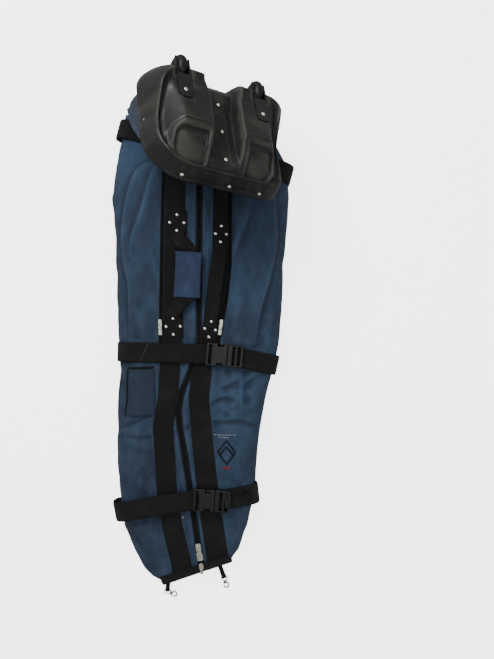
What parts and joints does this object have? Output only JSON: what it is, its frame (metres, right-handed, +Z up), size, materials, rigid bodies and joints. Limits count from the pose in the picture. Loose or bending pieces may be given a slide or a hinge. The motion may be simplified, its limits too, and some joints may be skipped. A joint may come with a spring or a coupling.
{
  "type": "wheeled ski travel bag",
  "caption": "Empty padded travel bag lying flat, with a moulded wheeled base folded over its front, compression straps, zips, carry handles and snap hooks.",
  "frame": {"origin": "middle of the bag's footprint, on the floor under its back panel", "axes": "+Y along the bag towards its wheeled end, +Z up out of the zipped front face, +X across it to the right as seen from above with the wheels at the top"},
  "size_m": [0.4712, 1.3017, 0.3786],
  "materials": {
    "blue_cloth": "coarse navy nylon weave",
    "foam": "closed-cell foam sheet",
    "emblem": "stitched",
    "black_webbing": "ribbed webbing",
    "zip_tape": "zip coil and tape",
    "buckle_plastic": "satin moulded",
    "rivet_metal": "polished nickel",
    "pull_metal": "worn nickel",
    "slider_metal": "worn nickel",
    "hook_metal": "nickel plated",
    "base_plastic": "scuffed grained",
    "liner_plastic": "flat sheet",
    "bracket_plastic": "satin moulded",
    "wheel_rubber": "matt",
    "hub_plastic": "satin",
    "bearing_steel": "ground",
    "axle_steel": "zinc plated"
  },
  "bodies": {
    "bag": {"back_panel": "blue_cloth", "base_neck": "blue_cloth", "emblem_patch": "emblem", "end_band": "black_webbing", "end_slider": "slider_metal", "foam_insert": "foam", "foot_loops": "black_webbing", "front_panel_left": "blue_cloth", "front_panel_right": "blue_cloth", "handle_left_ends": "black_webbing", "handle_patches": "black_webbing", "handle_right_ends": "black_webbing", "handle_rivets": "rivet_metal", "id_pocket": "blue_cloth", "low_keeper": "black_webbing", "low_socket": "buckle_plastic", "low_strap": "black_webbing", "low_strap_tail": "black_webbing", "main_zip": "zip_tape", "mid_socket": "buckle_plastic", "mid_strap": "black_webbing", "mid_strap_tail": "black_webbing", "pocket_zip_left": "zip_tape", "pocket_zip_right": "zip_tape", "top_socket": "buckle_plastic", "top_strap": "black_webbing", "top_strap_tail": "black_webbing", "webbing_left": "black_webbing", "webbing_right": "black_webbing"},
    "base": {"base_shell": "base_plastic", "base_liner": "liner_plastic", "wheel_bracket_left": "bracket_plastic", "wheel_bracket_right": "bracket_plastic", "wheel_axles": "axle_steel", "base_rivets": "rivet_metal"},
    "wheel_left": {"tyre_left": "wheel_rubber", "hub_left": "hub_plastic", "bearings_left": "bearing_steel"},
    "wheel_right": {"tyre_right": "wheel_rubber", "hub_right": "hub_plastic", "bearings_right": "bearing_steel"},
    "main_slider": {"main_slider": "slider_metal"},
    "main_pull": {"main_pull": "pull_metal"},
    "end_pull": {"end_pull": "pull_metal"},
    "pocket_left_slider": {"pocket_left_slider": "slider_metal"},
    "pocket_left_pull": {"pocket_left_pull": "pull_metal"},
    "pocket_right_slider": {"pocket_right_slider": "slider_metal"},
    "pocket_right_pull": {"pocket_right_pull": "pull_metal"},
    "mid_clip": {"mid_clip": "buckle_plastic"},
    "low_clip": {"low_clip": "buckle_plastic"},
    "top_clip": {"top_clip": "buckle_plastic"},
    "handle_left": {"handle_left_grip": "black_webbing", "handle_wrap": "blue_cloth"},
    "handle_right": {"handle_right_grip": "black_webbing"},
    "hook_left": {"hook_left": "hook_metal"},
    "hook_right": {"hook_right": "hook_metal"},
    "hook_gate_left": {"hook_gate_left": "hook_metal"},
    "hook_gate_right": {"hook_gate_right": "hook_metal"}
  },
  "joints": [
    {"name": "base_fold", "type": "hinge", "parent": "bag", "child": "base", "pos_m": [-0.02022, 0.51676, 0.09019], "axis": [-0.8874, -0.3324, 0.3194], "range_deg": [0, 70.16], "deforming": ["base_neck"]},
    {"name": "wheel_left_spin", "type": "hinge", "parent": "base", "child": "wheel_left", "pos_m": [-0.0336, 0.62078, 0.27373], "axis": [0.8596, -0.1055, -0.5], "continuous": true},
    {"name": "wheel_right_spin", "type": "hinge", "parent": "base", "child": "wheel_right", "pos_m": [0.13316, 0.60031, 0.17673], "axis": [0.8596, -0.1055, -0.5], "continuous": true},
    {"name": "main_slider_travel", "type": "slide", "parent": "bag", "child": "main_slider", "axis": [-0.1392, 0.9879, 0.0684], "range_m": [0, 0.26]},
    {"name": "main_pull_swing", "type": "hinge", "parent": "main_slider", "child": "main_pull", "pos_m": [-0.00447, -0.53228, 0.04714], "axis": [0.9903, 0.1388, 0.0096], "range_deg": [0, 150]},
    {"name": "end_pull_swing", "type": "hinge", "parent": "bag", "child": "end_pull", "pos_m": [-0.00097, -0.55826, 0.04537], "axis": [-0.9945, -0.1043, -0.007], "range_deg": [0, 150]},
    {"name": "pocket_left_slider_travel", "type": "slide", "parent": "bag", "child": "pocket_left_slider", "axis": [-0.0192, 0.9995, 0.0244], "range_m": [0, 0.1]},
    {"name": "pocket_left_pull_swing", "type": "hinge", "parent": "pocket_left_slider", "child": "pocket_left_pull", "pos_m": [-0.10167, 0.04097, 0.07373], "axis": [0.9998, 0.0192, 0.0005], "range_deg": [0, 150]},
    {"name": "pocket_right_slider_travel", "type": "slide", "parent": "bag", "child": "pocket_right_slider", "axis": [0.1461, 0.989, 0.0241], "range_m": [0, 0.1]},
    {"name": "pocket_right_pull_swing", "type": "hinge", "parent": "pocket_right_slider", "child": "pocket_right_pull", "pos_m": [0.04803, 0.04097, 0.07373], "axis": [0.9893, -0.146, -0.0036], "range_deg": [0, 150]},
    {"name": "mid_buckle_release", "type": "slide", "parent": "bag", "child": "mid_clip", "axis": [0.9962, -0.0871, -0.0014], "range_m": [0, 0.03], "deforming": ["mid_strap_tail"]},
    {"name": "low_buckle_release", "type": "slide", "parent": "bag", "child": "low_clip", "axis": [0.9976, -0.0696, -0.0047], "range_m": [0, 0.03], "deforming": ["low_strap_tail"]},
    {"name": "top_buckle_release", "type": "slide", "parent": "bag", "child": "top_clip", "axis": [0.9537, -0.3, 0.0205], "range_m": [0, 0.03], "deforming": ["top_strap_tail"]},
    {"name": "handle_left_swing", "type": "hinge", "parent": "bag", "child": "handle_left", "pos_m": [-0.06497, 0.18514, 0.07775], "axis": [-0.0488, -0.9986, -0.0194], "range_deg": [0, 110], "deforming": ["handle_left_ends"]},
    {"name": "handle_right_lift", "type": "slide", "parent": "bag", "child": "handle_right", "axis": [-0.0026, -0.0192, 0.9998], "range_m": [0, 0.02], "deforming": ["handle_right_ends"]},
    {"name": "hook_left_swing", "type": "hinge", "parent": "bag", "child": "hook_left", "pos_m": [-0.09121, -0.6358, 0.008], "axis": [0, 0, 1], "range_deg": [-20, 20]},
    {"name": "hook_left_gate_open", "type": "hinge", "parent": "hook_left", "child": "hook_gate_left", "pos_m": [-0.0831, -0.64296, 0.008], "axis": [0, 0, 1], "range_deg": [0, 20], "stiffness_Nm_per_rad": 0.01, "springref_deg": -11.46},
    {"name": "hook_right_swing", "type": "hinge", "parent": "bag", "child": "hook_right", "pos_m": [0.05708, -0.60135, 0.008], "axis": [0, 0, 1], "range_deg": [-25, 25]},
    {"name": "hook_right_gate_open", "type": "hinge", "parent": "hook_right", "child": "hook_gate_right", "pos_m": [0.05643, -0.61215, 0.008], "axis": [0, 0, 1], "range_deg": [0, 20], "stiffness_Nm_per_rad": 0.01, "springref_deg": -11.46}
  ]
}
